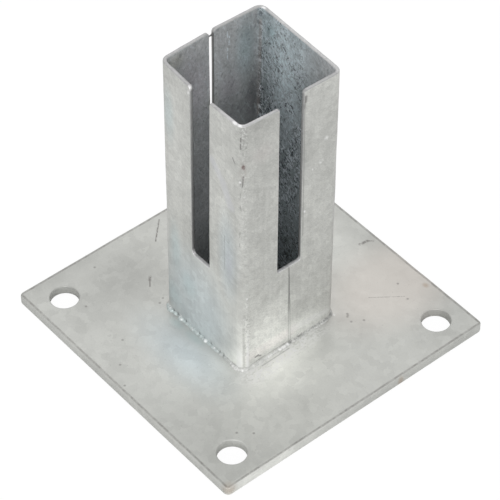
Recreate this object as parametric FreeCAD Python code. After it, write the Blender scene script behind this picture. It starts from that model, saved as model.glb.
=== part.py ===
import FreeCAD, Part
import math
import os
from FreeCAD import Vector

# Base plate for a square fence post, welded from steel and hot-dip galvanised.
# Millimetres. The origin is the middle of the plate's underside, +Z points up the stub,
# and X and Y run along the plate's edges. The stub is two folded channels that stand
# mouth to mouth: the front channel's web is on the -Y side, the rear one's on the +Y side.
# They butt at a seam in the +X face and leave an open slit in the -X face.

# Plate: a square of flat steel with a bolt hole near each corner
plate_side = 150.0
plate_thickness = 5.0
plate_corner_radius = 2.5
hole_edge_distance = 15.0
bolt_hole_diameter = 13.5
plate_edge_chamfer = 0.4

# Channels: the sheet, its bends and the square that they stand on
sheet_thickness = 1.8
inner_bend_radius = 2.2
stub_height = 150.0
foot_side = 54.2
foot_offset = Vector(0.4, -0.2, 0)

# How far the stub's top has been sprung and pulled aside from straight above its foot
near_corner_spread = Vector(2.0, -0.8, 0)
left_corner_spread = Vector(1.3, 0.7, 0)
right_corner_spread = Vector(2.1, 0.2, 0)
back_corner_spread = Vector(1.2, 2.1, 0)
web_crease_spread = Vector(3.5, -0.9, 0)
front_seam_spread = Vector(3.7, -4.3, 0)
rear_seam_spread = Vector(1.1, -4.3, 0)
front_slit_spread = Vector(0.5, 0.8, 0)
rear_slit_spread = Vector(0.2, 0.8, 0)

# Where the channels part, measured along the wall from the middle of the foot's side
seam_at_foot = 0.7
slit_at_foot = -0.1
parting_gap = 0.3
web_crease_at_foot = -5.4

# Slots: their widths and middles at the floor, and how far the middle drifts to the top.
# The seam slot is a notch up each channel, and the slit runs down to the plate.
seam_slot_widths = (13.6, 14.7)
seam_slot_middle = -0.65
seam_slot_drift = -0.25
front_notch_height = 51.3
rear_notch_height = 50.2
web_slot_widths = (11.5, 12.6)
web_slot_middle = -0.2
web_slot_drift = 2.7
web_slot_height = 49.8
slit_widths = (0.8, 2.7)
slit_drift = 1.1
notch_radii = (1.0, 1.0)
web_slot_radii = (1.5, 1.0)
near_tongue_radius = 0.8
side_tongue_radius = 1.5
rim_edge_radius = 0.5

# Fillet weld round the foot of the stub
weld_leg = 1.8
weld_height = 1.5
weld_crown = 1.15
weld_lip = 0.25

plate_top = plate_thickness
stub_top = plate_top + stub_height
outer_bend_radius = inner_bend_radius + sheet_thickness
half_foot = foot_side / 2
bolt_spacing = plate_side - 2 * hole_edge_distance
slot_reach = 12.0
tolerance = 0.001

# Outline of the stub as pairs of a point at the foot and the same point at the top.
# It runs from the seam round the near and left corners to the slit, then on round the
# back and right corners to the seam again.


def station(x, y, spread, radius):
    """A point of the outline at the foot, its place at the top, and the bend there."""
    foot = Vector(x, y, 0) + foot_offset
    return {"foot": foot, "top": foot + spread, "radius": radius}


half_gap = parting_gap / 2
front_outline = [
    station(half_foot, seam_at_foot - half_gap, front_seam_spread, 0),
    station(half_foot, -half_foot, near_corner_spread, outer_bend_radius),
    station(web_crease_at_foot, -half_foot, web_crease_spread, 0),
    station(-half_foot, -half_foot, left_corner_spread, outer_bend_radius),
    station(-half_foot, slit_at_foot - half_gap, front_slit_spread, 0),
]
rear_outline = [
    station(-half_foot, slit_at_foot + half_gap, rear_slit_spread, 0),
    station(-half_foot, half_foot, back_corner_spread, outer_bend_radius),
    station(half_foot, half_foot, right_corner_spread, outer_bend_radius),
    station(half_foot, seam_at_foot + half_gap, rear_seam_spread, 0),
]


def outline_at(outline, height):
    """Points of an outline at a height above the plate, on the lines from foot to top."""
    share = height / stub_height
    rise = Vector(0, 0, plate_top + height)
    return [s["foot"] + (s["top"] - s["foot"]) * share + rise for s in outline]


def moved_inwards(points, distance, closed=False):
    """Points of a clockwise path whose every straight run has moved inwards."""
    count = len(points)
    moved = []
    for i, point in enumerate(points):
        runs = []
        if closed or i > 0:
            runs.append(point - points[i - 1])
        if closed or i < count - 1:
            runs.append(points[(i + 1) % count] - point)
        inwards = [Vector(run.y, -run.x, 0).normalize() for run in runs]
        first, last = inwards[0], inwards[-1]
        moved.append(point + (first + last) * (distance / (1 + first.dot(last))))
    return moved


def rounded_polygon(points, radii):
    """Closed wire of straight runs, joined by a tangent arc where a radius is given."""
    joins = []
    for i, (corner, radius) in enumerate(zip(points, radii)):
        if radius <= 0:
            joins.append([corner])
            continue
        back = (points[i - 1] - corner).normalize()
        ahead = (points[(i + 1) % len(points)] - corner).normalize()
        half_angle = back.getAngle(ahead) / 2
        tangent = radius / math.tan(half_angle)
        nearest = radius / math.sin(half_angle) - radius
        middle = corner + (back + ahead).normalize() * nearest
        joins.append([corner + back * tangent, middle, corner + ahead * tangent])
    edges = []
    for join, next_join in zip(joins, joins[1:] + joins[:1]):
        if len(join) > 1:
            edges.append(Part.Arc(*join).toShape())
        edges.append(Part.LineSegment(join[-1], next_join[0]).toShape())
    return Part.Wire(edges)


def channel_section(outline, height):
    """Closed section of a folded channel: its outer path, and the same path one sheet in."""
    outer = outline_at(outline, height)
    inner = moved_inwards(outer, sheet_thickness)
    radii = [s["radius"] for s in outline]
    inner_radii = [r - sheet_thickness if r > 0 else 0 for r in radii]
    return rounded_polygon(outer + inner[::-1], radii + inner_radii[::-1])


def in_plane(edge, z):
    """Whether an edge lies in the level plane at a height."""
    box = edge.BoundBox
    return abs(box.ZMin - z) < tolerance and abs(box.ZMax - z) < tolerance


def channel_body(outline):
    """Folded channel before it is slotted: ruled walls, and a rim thick with zinc.

    The rim's edges run along the walls. The two that cross the sheet's cut ends stay sharp.
    """
    sections = [channel_section(outline, 0), channel_section(outline, stub_height)]
    body = Part.makeLoft(sections, True, True)
    crossing = sheet_thickness + parting_gap
    rim = [e for e in body.Edges if in_plane(e, stub_top) and e.Length > crossing]
    return body.makeFillet(rim_edge_radius, rim)


def slot_cutter(wall_normal, widths, middle, drift, floor, floor_radii, mouth_radii):
    """Prism that cuts a slot in one wall, open at the top and leaning with its tongues.

    The middle is a place along the wall, to the right as seen from outside. Both pairs of
    radii run from left to right: one rounds the ends of the floor, and the mouth flares by
    the other to round the top corners of the tongues.
    """
    right = Vector(0, 0, 1).cross(wall_normal)
    inside = foot_offset + wall_normal * (half_foot - slot_reach)
    floor_middle = inside + right * middle + Vector(0, 0, plate_top + floor)
    top_middle = floor_middle + right * drift + Vector(0, 0, stub_height - floor)
    floor_half = right * (widths[0] / 2)
    top_half = right * (widths[1] / 2)
    left_flare = right * (-2 * mouth_radii[0])
    right_flare = right * (2 * mouth_radii[1])
    above = Vector(0, 0, slot_reach)
    lower = [floor_middle - floor_half, floor_middle + floor_half]
    right_mouth = [top_middle + top_half, top_middle + top_half + right_flare]
    left_mouth = [top_middle - top_half + left_flare, top_middle - top_half]
    points = lower + right_mouth + [right_mouth[1] + above, left_mouth[0] + above] + left_mouth
    radii = [*floor_radii, mouth_radii[1], 0, 0, 0, 0, mouth_radii[0]]
    return Part.Face(rounded_polygon(points, radii)).extrude(wall_normal * (2 * slot_reach))


def seam_notch(height):
    """Cutter for the slot in the +X face, which is a notch up the edge of each channel."""
    return slot_cutter(Vector(1, 0, 0), seam_slot_widths, seam_slot_middle, seam_slot_drift,
                       height, notch_radii, (near_tongue_radius, side_tongue_radius))


def web_slot():
    """Cutter for the slot up the middle of the front channel's web."""
    return slot_cutter(Vector(0, -1, 0), web_slot_widths, web_slot_middle, web_slot_drift,
                       web_slot_height, web_slot_radii, (side_tongue_radius, near_tongue_radius))


def open_slit():
    """Cutter for the slit between the channels in the -X face, down to the plate."""
    return slot_cutter(Vector(-1, 0, 0), slit_widths, -slit_at_foot, -slit_drift,
                       0, (0, 0), (side_tongue_radius, side_tongue_radius))


def base_plate():
    """Square plate with rounded corners, a bolt hole near each and softened edges."""
    half = plate_side / 2
    corners = [Vector(x * half, y * half, 0) for x, y in ((1, -1), (-1, -1), (-1, 1), (1, 1))]
    outline = rounded_polygon(corners, [plate_corner_radius] * 4)
    plate = Part.Face(outline).extrude(Vector(0, 0, plate_thickness))
    for corner in corners:
        place = corner * (bolt_spacing / plate_side)
        plate = plate.cut(Part.makeCylinder(bolt_hole_diameter / 2, plate_thickness, place))
    rims = [e for e in plate.Edges if in_plane(e, 0) or in_plane(e, plate_thickness)]
    return plate.makeChamfer(plate_edge_chamfer, rims)


def weld_bead():
    """Fillet weld round the foot: a convex ring that lies against the walls and the plate."""
    outline = front_outline + rear_outline
    walls = []
    for height in (0, stub_height):
        radii = [s["radius"] for s in outline]
        walls.append(rounded_polygon(outline_at(outline, height), radii))
    stub = Part.makeLoft(walls, True, True)
    corners = [s for s in outline if s["radius"] > 0]
    rings = []
    for height, reach in ((0, weld_leg), (weld_height / 2, weld_crown), (weld_height, weld_lip)):
        radii = [s["radius"] + reach for s in corners]
        points = moved_inwards(outline_at(corners, height), -reach, closed=True)
        rings.append(rounded_polygon(points, radii))
    return Part.makeLoft(rings, True, True).cut(stub)


parts = {
    "base_plate": base_plate(),
    "front_channel": channel_body(front_outline).cut([
        web_slot(), seam_notch(front_notch_height), open_slit()]),
    "rear_channel": channel_body(rear_outline).cut([
        seam_notch(rear_notch_height), open_slit()]),
    "weld_bead": weld_bead(),
}
os.makedirs("parts", exist_ok=True)
for name, shape in parts.items():
    shape = shape.Solids[0] if len(shape.Solids) == 1 else shape
    shape.exportStep(f"parts/{name}.step")
    print(name, shape.ShapeType, shape.isValid(), round(shape.Volume, 1))
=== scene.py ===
import math
from functools import reduce

import bmesh
import bpy
import numpy as np
from mathutils import Matrix, Vector
from mathutils.geometry import delaunay_2d_cdt


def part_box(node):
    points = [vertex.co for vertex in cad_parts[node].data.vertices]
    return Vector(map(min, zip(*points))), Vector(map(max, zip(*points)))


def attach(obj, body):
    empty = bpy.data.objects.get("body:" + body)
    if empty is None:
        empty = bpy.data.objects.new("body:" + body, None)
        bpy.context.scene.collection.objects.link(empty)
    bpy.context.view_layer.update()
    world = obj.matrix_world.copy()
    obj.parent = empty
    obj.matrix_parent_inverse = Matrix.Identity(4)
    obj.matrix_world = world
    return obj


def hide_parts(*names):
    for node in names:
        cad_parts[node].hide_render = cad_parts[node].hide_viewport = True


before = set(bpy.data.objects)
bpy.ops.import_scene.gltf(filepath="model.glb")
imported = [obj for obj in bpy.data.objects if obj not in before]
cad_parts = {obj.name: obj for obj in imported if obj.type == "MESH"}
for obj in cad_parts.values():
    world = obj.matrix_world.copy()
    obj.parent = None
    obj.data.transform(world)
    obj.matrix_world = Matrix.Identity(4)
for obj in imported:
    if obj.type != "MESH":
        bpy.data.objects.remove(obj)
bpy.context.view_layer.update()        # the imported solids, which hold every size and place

# Post base plate, hot-dip galvanised. Shapes are worked out in millimetres in the frame of
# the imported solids: the origin is the middle of the plate's underside, +Z is up the stub.
MM = 0.001

# Points nearer to each other than this are one
MERGE_DISTANCE = 0.002

# Plate
PLATE_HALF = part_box("base_plate")[1][0] / MM
PLATE_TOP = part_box("base_plate")[1][2] / MM
PLATE_CORNER = 2.5
PLATE_EDGE_ROUND = 0.7
HOLE_RADIUS = 6.75
HOLE_RIM_ROUND = 0.6
HOLE_PLACE = 60.0

# The plate's top lies a little below the solid's, and waves
PLATE_SINK = 0.06
PLATE_WAVE, PLATE_WAVELENGTH = 0.05, 22

# Mesh of the plate: points along half a side, and rings from hole to border, which crowd
# towards the hole. Every sixth ring is enough for the underside.
SIDE_POINTS = 51
RING_COUNT, RING_CROWDING = 37, 1.3
UNDERSIDE_STEP = 6

# Stub: the square that the walls stand on, and the corners of its sprung top
STUB_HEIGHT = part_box("front_channel")[1][2] / MM - PLATE_TOP
SHEET = 1.8
OUTER_BEND = 4.0
FOOT_RIGHT, FOOT_LEFT = 27.5, -26.7
FOOT_FRONT, FOOT_BACK = -27.3, 26.9
NEAR_TOP = (29.5, -28.1)
LEFT_TOP = (-25.4, -26.6)
RIGHT_TOP = (29.6, 27.1)
BACK_TOP = (-25.5, 29.0)
CREASE_TOP = (-1.5, -28.2)
CREASE_FOOT = -5.0
CREASE_BEND = 3.0
RIM_ROUND = 0.45
RIM_BORDER = 0.15

# Edges where the walls stop, as (at the foot, at the top) along X or Y
FRONT_SEAM = ((FOOT_RIGHT, 0.35), (31.2, -3.95))
REAR_SEAM = ((FOOT_RIGHT, 0.65), (28.6, -3.65))
FRONT_SLIT = ((FOOT_LEFT, -0.7), (-26.15, -0.55))
REAR_SLIT = ((FOOT_LEFT, 0.1), (-26.45, 2.15))

# Slot floors above the plate, and the radii in their corners
WEB_SLOT_FLOOR = 49.8
FRONT_NOTCH_FLOOR = 51.3
REAR_NOTCH_FLOOR = 50.2
NOTCH_CORNER = 1.0
WEB_SLOT_LEFT_CORNER = 1.5
WEB_SLOT_RIGHT_CORNER = 1.0
NEAR_TONGUE_CORNER = 0.8
SIDE_TONGUE_CORNER = 1.5
END_CORNER = 0.8

# Slots as (middle at the floor, middle at the top, width at the floor, width at the top)
SEAM_SLOT = (-0.85, -1.1, 13.6, 14.7)
WEB_SLOT = (0.2, 2.9, 11.5, 12.6)

# How far the walls wave in and out, over long and short lengths
WALL_WAVE, WALL_WAVELENGTH = 0.05, 26
WALL_RIPPLE, RIPPLE_LENGTH = 0.02, 8

# How far the rim dips below the solid's, and over what height the dip fades out
RIM_DIP, RIM_DIP_WAVE, RIM_DIP_WAVELENGTH = 0.07, 0.05, 9
RIM_DIP_LIMITS = (0.01, 0.16)
RIM_DIP_REACH = 10

# Mesh of the walls: the grid's steps, and how near it comes to the outline
COLUMN_STEP = 0.3
ROW_STEP = 1.8
GRID_MARGIN = 0.5

# Thread of zinc across the slit
BRIDGE_START, BRIDGE_END = (-25.6, -0.75, 152.0), (-25.8, 2.35, 151.6)
BRIDGE_WAIST, BRIDGE_FLARE = 0.32, 0.5

# Weld bead: its section, how its size varies along the way, and the section's hidden
# corners. Then the filling in the foot of the seam.
WELD_LEG = 1.8
WELD_HEIGHT = 1.5
WELD_SINK = 0.05
WELD_BULGE = 0.105
WELD_SIZE, WELD_WAVE, WELD_RIPPLE = 0.72, 0.14, 0.1
WELD_LUMP, WELD_DENT = 0.35, -0.25
WELD_SIZE_LIMITS = (0.35, 1.0)
WELD_ROOT, WELD_TOE = -0.12, 0.9
FOOT_SIDE_POINTS, FOOT_CORNER_POINTS = 130, 14
FILLING_TOP, FILLING_POINTS = 34, 30
FILLING_INSET = 0.42
FILLING_RADII, FILLING_WAVE = (0.62, 0.35), 0.12

# Camera and light, fitted to the photo
CAMERA_AZIMUTH, CAMERA_ELEVATION, CAMERA_ROLL = 50.38, 45.95, -0.41
CAMERA_TARGET = (-31.51, 26.98, 0)
CAMERA_DISTANCE = 1234.5
CAMERA_LENS, CAMERA_SENSOR, CAMERA_SHIFT = 190.25, 36.0, (-0.001, 0.001)
LAMPS = (
    ("softbox_front", (1500, -1400, 900), 1500, 20.0),
    ("softbox_back_left", (-1400, 1000, 1600), 1200, 6.0),
)
LAMP_AIM = (0, 0, 50)
SKY_STRENGTH = 0.8
FLOOR_REACH, FLOOR_HEIGHT = 3000.0, -0.2
FLOOR_GLOW, FLOOR_GLOW_SHARE = 1.03, 0.93

# Weathered zinc scatters much of the light under its bright skin
ZINC_METALLIC = 0.4


def grey(value, warmth=0.0):
    """Linear grey, with red up and blue down by the warmth."""
    return (value * (1 + warmth), value, value * (1 - warmth), 1.0)


# Soft pools of light and shade in the zinc, as (centre, radii, gain)
PLATE_POOLS = [((x, y, 5), (across, along, 30), gain) for x, y, across, along, gain in (
    (41, -10, 23, 36, 0.5), (66, -14, 22, 32, 0.14), (28, -46, 54, 27, 0.3),
    (64, -40, 30, 40, 0.14), (30, 76, 42, 26, -0.38), (64, 60, 26, 28, -0.13),
    (-54, -28, 32, 26, -0.18), (-46, -52, 20, 32, -0.12), (-78, -56, 16, 42, -0.2),
    (-46, 8, 24, 26, 0.15), (-14, 48, 28, 26, 0.18), (8, -40, 22, 12, 0.16),
    (38, -22, 16, 20, 0.12), (-2, -33, 30, 8, 0.12), (33, -4, 9, 36, 0.25),
    (22, -33, 14, 8, 0.12), (38, 31, 13, 12, -0.15), (32, 27, 7, 8, -0.15),
    (50, -52, 36, 22, -0.1), (-64, -52, 22, 34, -0.05), (3, 56, 15, 14, 0.12),
    (36, 66, 18, 14, -0.1), (17, -32, 14, 5, 0.14))]
PLATE_POOLS.append(((75, -62, 2), (3, 46, 9), 0.45))
WALL_POOLS = (
    ((28, -14, 21), (9, 26, 30), 0.55),
    ((28, -9, 13), (9, 17, 9), 0.16),
    ((28, 10, 11), (9, 20, 11), 0.42),
    ((28, 8, 30), (9, 26, 22), 0.1),
    ((28, 5, 25), (7, 9, 14), -0.16),
    ((28, -18, 50), (7, 16, 12), 0.1),
    ((24, -27, 8), (8, 5, 17), 0.45),
    ((17, -27, 5), (9, 5, 8), 0.28),
    ((4, -27, 22), (36, 8, 44), 0.24),
    ((4, -27, 50), (34, 8, 17), 0.1),
    ((15, -28, 100), (13, 6, 60), 0.13),
    ((-15, -27, 104), (12, 6, 52), 0.18),
    ((31, -21, 156), (9, 14, 22), -0.22),
    ((31, -12, 151), (8, 7, 12), -0.1),
    ((30, -18, 108), (6, 14, 64), -0.08),
    ((30, -28, 140), (5, 5, 40), -0.22),
    ((28, 8, 120), (8, 7, 22), -0.2),
    ((29, 18, 132), (7, 12, 30), -0.08),
    ((22, -27, 36), (12, 6, 24), 0.14),
    ((-15, -27, 56), (10, 6, 34), 0.13),
    ((10, -27, 56), (16, 6, 26), 0.07),
    ((8, -27, 15), (17, 7, 14), -0.07),
)
INNER_POOLS = (
    ((-5, 27, 140), (21, 12, 24), 0.62),
    ((-7, 27, 117), (17, 12, 26), 0.68),
    ((13, 27, 146), (15, 12, 14), 0.3),
    ((-24, 16, 128), (14, 12, 26), 0.14),
    ((-24, -2, 124), (12, 16, 20), 0.34),
    ((-24, -20, 136), (12, 9, 30), 0.22),
    ((-24, 24, 120), (8, 7, 44), 0.04),
    ((-22, 26, 88), (14, 14, 36), -0.36),
    ((2, 27, 78), (26, 12, 30), -0.14),
    ((-14, 27, 140), (12, 12, 24), 0.12),
    ((-24, 8, 99), (10, 14, 16), -0.3),
    ((25, 26, 149), (9, 8, 13), 0.48),
    ((-24, 22, 146), (6, 8, 20), -0.2),
    ((-24, 23, 108), (6, 10, 28), -0.42),
    ((-17, 27, 148), (9, 6, 12), 0.12),
    ((0, 27, 34), (28, 12, 34), 0.22),
    ((-24, -6, 38), (14, 26, 34), 0.35),
)

# The weld takes the wall's first pools, which lie low
WELD_POOL_COUNT = 6

# Lumps of the weld and its splashes with painted highlights, then dents with painted shade, as
# (x, y, radius)
WELD_GLINTS = (
    (-23.0, -27.5, 1.2), (-15.6, -27.6, 0.9), (-14.2, -28.2, 0.7), (-6.6, -28.1, 0.8),
    (1.1, -28.2, 0.4), (3.0, -28.2, 0.9), (8.9, -28.0, 0.6), (13.2, -28.4, 0.4),
    (20.6, -28.2, 0.6), (22.4, -28.4, 1.0), (24.4, -28.6, 1.3), (26.2, -28.2, 1.0),
    (27.6, -27.6, 1.4), (28.6, -25.8, 1.2), (28.4, -1.4, 0.7), (28.7, -6.2, 0.5),
    (28.5, -12.5, 0.7), (27.7, 26.9, 0.9), (28.8, 17.2, 0.5), (28.9, 9.1, 0.4),
)
WELD_PITS = (
    (-20.6, -27.3, 0.7), (-17.6, -27.4, 1.0), (-11.6, -27.4, 0.7), (-2.2, -27.4, 0.6),
    (6.0, -27.4, 0.5), (12.3, -27.4, 0.7), (15.0, -27.5, 0.9), (28.0, 0.6, 1.0),
    (27.9, 5.2, 0.6), (28.0, 7.4, 0.9), (28.1, 12.9, 0.5), (28.0, 17.9, 0.7),
    (27.9, 21.6, 0.6), (27.1, 25.6, 1.9),
)

# Marks of the photo: a patch is (centre, radii, softness) and a stroke (start, end, width),
# with a strength after them where it isn't 1
# Painted shade along the creases where wall, weld and plate meet
FOOT_SHADE_LINE_REAR = ((28.0, -0.5, 5.6), (28.0, 26.5, 5.6), 0.8)
FOOT_SHADE_LINE_LEFT = ((-26, -27.7, 6.4), (25, -27.7, 6.4), 0.6, 0.6)
FOOT_SHADE_LINES_FRONT = (
    ((27.8, -19, 6.5), (27.8, -0.5, 6.5), 0.55, 0.65),
    ((30.4, -18, 5), (30.1, -2, 5), 0.5, 0.52),
)
# Painted highlight along the weld's crest on the right face
WELD_CREST_HIGHLIGHT = ((28.7, -13.5, 5.9), (28.7, -0.8, 5.9), 1.1)

PLATE_WARM = ((30, 58, 5), (34, 46, 20), 0.7)
PLATE_COOL = ((2, -40, 5), (44, 19, 20), 1.0)
PLATE_TEAL = (
    ((-2, -30.5, 5), (9, 3.5, 9), 0.9),
    ((-14, -31, 5), (7, 3.5, 9), 0.9),
)
PLATE_SCRATCHES = (
    ((-71, 4, 5), (-61, -6, 5), 0.55),
    ((-45, -22, 5), (-43, -23.7, 5), 0.95),
    ((-43, -23.7, 5), (-40, -26, 5), 0.5),
    ((2, 65.5, 5), (2.6, 69.5, 5), 1.1),
    ((2.6, 69.5, 5), (4.4, 71.5, 5), 0.7),
    ((30, 46, 5), (40, 59, 5), 0.35, 0.6),
)
PLATE_SPECKS = (
    (32, 31.5), (31.2, 31.9), (32.6, 30.7), (36, 30), (39, 35), (32, 62), (42, 59),
    (-49, -56), (-22, -56), (-66, -38), (-11, -66), (0, -72), (53, -51.5), (58, -46),
    (-29, -29), (-30.5, -26),
)
PLATE_STAINS = (
    ((74, -73, 3), (5, 5, 4), 0.9),
    ((75, 25, 2), (2, 2.5, 4), 0.8),
    ((41, 71, 5), (2.5, 2, 4), 0.9),
)
PLATE_SKIRT = (
    ((31, -4, 5), (7, 32, 4), 0.7),
    ((32, -20, 5), (9, 16, 4), 0.8),
)

WALL_COOL = (
    ((-5, -27, 22), (32, 9, 46), 0.7),
    ((19, -28, 72), (9, 9, 38), 0.9),
)
WALL_TEAL = (
    ((-21, -27, 17), (9, 5, 12), 0.9),
    ((-18, -27, 50), (6, 5, 22), 0.9),
    ((-9, -27, 32), (9, 5, 12), 0.9),
    ((-20, -27, 128), (6, 5, 22), 0.9),
)
WALL_VIOLET_LINES = (
    ((10.4, -28.0, 124), (17, -28, 116), 3.2),
    ((17, -28, 116), (21.9, -28, 105), 3.6),
)
WALL_VIOLET = ((20, -28, 68), (4, 3, 14), 0.9)
WALL_PINK = ((30, -16.8, 135), (4, 9, 8), 0.9)
WALL_PINK_LINE = ((27.9, -22, 12), (27.9, 2, 12), 5.0)
WALL_PALE_LINE = ((27.8, 2, 13), (27.7, 22, 10.5), 3.0)
# Painted shade in the gap of the seam
SEAM_SHADE_LINE = ((27.5, 0.45, 5), (28.35, -1.0, 58), 1.08)
NEAR_CORNER_LINE = ((26.8, -25.6, 6), (27.1, -25.8, 44), 0.8)
NEAR_CORNER_DASHES = ((27.6, -27.1, 124), (26.8, -27, 84), 0.7)
WALL_LINES = (
    # The first two are painted shade up the bend of the right corner, the rest dark marks in the
    # zinc
    ((26.2, 26.0, 6), (26.5, 26.0, 26), 1.6, 0.6),
    ((26.2, 26.0, 6), (27.4, 26.1, 92), 1.2, 0.42),
    ((28.9, 6.6, 150), (28.2, 7.0, 70), 0.5, 0.4),
    ((17.3, -27.8, 84), (16.8, -27.7, 63), 0.35, 0.35),
    ((28.2, -27.2, 148.6), (28.15, -27.2, 146.6), 0.5, 0.75),
    ((28.15, -27.2, 145.2), (28.1, -27.2, 142.4), 0.55, 0.75),
    ((28.6, -26.3, 126.5), (28.3, -26.6, 120.5), 0.5, 0.75),
    ((23.8, -28.1, 135.0), (24.7, -28.1, 133.6), 0.5, 0.75),
    ((24.7, -28.1, 133.4), (25.4, -28.1, 132.8), 0.4, 0.75),
    ((29.2, 7.0, 151.4), (29.1, 6.7, 149.0), 1.5, 0.75),
    ((29.1, 6.5, 147.6), (29.0, 6.3, 145.2), 0.9, 0.75),
    ((27.9, -19.4, 9.4), (27.8, -18.0, 9.6), 1.0, 0.75),
    ((27.8, -18.2, 9.2), (27.7, -16.4, 8.4), 0.6, 0.75),
)
WALL_BEADED = (
    ((28.7, -26, 147), (2.6, 2.6, 14), 0.6),
    ((28.3, -26, 112), (2.2, 2.2, 60), 0.7, 0.5),
    ((27.3, -24.6, 26), (3.0, 3.2, 24), 0.6),
)
RUST_SPOT = ((28.8, -26.4, 131.8), (1.0, 1.0, 1.9), 0.5)
RUST_HALO = ((28.6, -26.3, 130), (2.4, 2.6, 8), 0.9)
# Painted highlight up the foot of the near corner, on both sides of its bend
HIGHLIGHT_STRIPE_RIGHT = ((27.4, -23.9, 6), (27.6, -24, 36), 1.1)
HIGHLIGHT_STRIPE_LEFT = ((25.1, -26.9, 6), (25.3, -26.9, 22), 1.9)
WALL_PEARLS = (
    (28.2, 11.7, 107), (28.2, 7.8, 84), (27.9, -24.4, 51), (27.6, -24.4, 46),
    (27.4, -27.1, 123), (28, -15.5, 13), (28.3, 5.6, 76),
)
WALL_SMUDGES = ((29.0, 18.8, 121), (29, 16.4, 109), (-4.4, -27.9, 151))

INNER_TEAL = (
    ((-24, 19, 136), (8, 8, 24), 0.9),
    ((-17, 27, 146), (6, 8, 9), 0.9),
)
INNER_PLUM = (
    ((-24, -10, 130), (9, 12, 26), 0.8),
    ((-24, 10, 118), (9, 7, 12), 0.9),
)
INNER_MOSS = (
    ((-24, -19.5, 150), (6, 7, 7), 0.9),
    ((-24, 0.5, 115), (6, 4, 8), 0.9),
)
INNER_ETCHED = ((-3, 27, 102), (19, 12, 58), 0.5)
INNER_LINES = (
    # The first is painted shade down the inside of the back corner, the second a dark scratch
    ((-23.0, 26.5, 152), (-23.55, 25.6, 90), 1.0, 0.36),
    ((-14.9, 26, 129), (-14.2, 26, 126), 0.8, 0.6),
)
BACK_CORNER_RUST = ((-23.1, 26.5, 148), (-23.6, 25.5, 94), 1.1)
INNER_SCRATCHES = (
    ((-24.35, 9.3, 150), (-24.35, 9.5, 147), 0.5),
    ((-24.35, 10.4, 147), (-24.4, 10.1, 142.5), 0.5),
    ((-24.4, 9.4, 141), (-24.45, 9.2, 135), 0.5),
    ((-24.4, 1.9, 138), (-24.45, 2.0, 130), 0.45),
    ((-24.45, 2.0, 130), (-24.45, 6.2, 129), 0.4),
    ((-15, 26.5, 128.5), (-13.7, 26.4, 126), 0.5),
    ((-10.3, 26.3, 125), (-2.4, 26.1, 122), 0.4),
    ((-21.9, 26.5, 125), (-21.9, 26.2, 97), 0.5),
)

# Painted highlights on the rim: along its crest, then in spots
RIM_CREST_HIGHLIGHTS = (
    ((10, 30, 155), (34, 8, 4), 0.3),
    ((28, -26, 155), (16, 16, 4), 0.5),
)
RIM_SPOT_HIGHLIGHTS = (
    ((24.9, -27.4, 155), (2.0, 1.2, 2), 0.7),
    ((27.4, -26.9, 155), (1.6, 1.2, 2), 0.7),
    ((-22, 27, 155), (1.6, 1.6, 2), 0.7),
    ((-4.2, -27.6, 154), (1.3, 1.3, 2), 0.7),
)


def swell(x, y, wavelength, seed):
    """Smooth uneven height between about -1 and 1.

    Eight sine waves added up, in scattered directions, with lengths round the one given.
    """
    rng = np.random.default_rng(seed)
    heading = rng.uniform(0, math.tau, 8)
    phase = rng.uniform(0, math.tau, 8)
    length = wavelength * rng.uniform(0.7, 1.6, 8)
    across = np.multiply.outer(x, np.cos(heading)) + np.multiply.outer(y, np.sin(heading))
    return np.sin(math.tau * across / length + phase).sum(axis=-1) / 3


def grid_quads(rows, columns, closed_rows=False, closed_columns=False):
    """Quads between the points of a grid that is stored row after row.

    A closed direction joins its last line to its first.
    """
    r = np.arange(rows if closed_rows else rows - 1)
    c = np.arange(columns if closed_columns else columns - 1)
    row, column = np.meshgrid(r, c, indexing="ij")
    next_row, next_column = (row + 1) % rows, (column + 1) % columns
    quads = np.stack([row * columns + column, row * columns + next_column,
                      next_row * columns + next_column, next_row * columns + column], axis=-1)
    return quads.reshape(-1, 4)


def joined(patches):
    """Points and quads of several patches as one pair, each patch's numbers moved on."""
    points, quads, count = [], [], 0
    for patch_points, patch_quads in patches:
        flat = patch_points.reshape(-1, 3)
        points.append(flat)
        quads.append(patch_quads + count)
        count += len(flat)
    return np.concatenate(points), np.concatenate(quads)


def raised(plan, height):
    """Points over places in plan, each at its own height."""
    return np.concatenate([plan, height[..., None]], axis=-1)


def unit(vectors):
    """Vectors brought to length 1."""
    return vectors / np.linalg.norm(vectors, axis=-1, keepdims=True)


def run_lengths(line):
    """Length of a line from its start to each of its points."""
    return np.concatenate([[0], np.cumsum(np.linalg.norm(np.diff(line, axis=0), axis=1))])


def round_between(middle, first, last, count):
    """Points of an arc round a middle, from a first point to a last one."""
    from_middle, to_last = first - middle, last - middle
    sweep = math.acos(unit(from_middle) @ unit(to_last))
    turn = np.linspace(0, 1, count)[:, None]
    return middle + (np.sin((1 - turn) * sweep) * from_middle
                     + np.sin(turn * sweep) * to_last) / math.sin(sweep)


def new_object(name, data):
    """Object with its data, linked into the scene."""
    thing = bpy.data.objects.new(name, data)
    bpy.context.scene.collection.objects.link(thing)
    return thing


def add_piece(name, points, faces, materials, numbers=None):
    """Piece from points in millimetres, smooth and closed, riding on the one body.

    The numbers say which of the materials each face has. Points that lie at one place,
    where the patches meet, are merged.
    """
    mesh = bpy.data.meshes.new(name)
    mesh.from_pydata((points.reshape(-1, 3) * MM).tolist(), [], faces)
    if numbers:
        mesh.polygons.foreach_set("material_index", numbers)
    work = bmesh.new()
    work.from_mesh(mesh)
    bmesh.ops.remove_doubles(work, verts=work.verts, dist=MERGE_DISTANCE * MM)
    work.to_mesh(mesh)
    work.free()
    mesh.shade_smooth()
    for material in materials:
        mesh.materials.append(material)
    piece = new_object(name, mesh)
    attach(piece, "root")
    return piece


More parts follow.
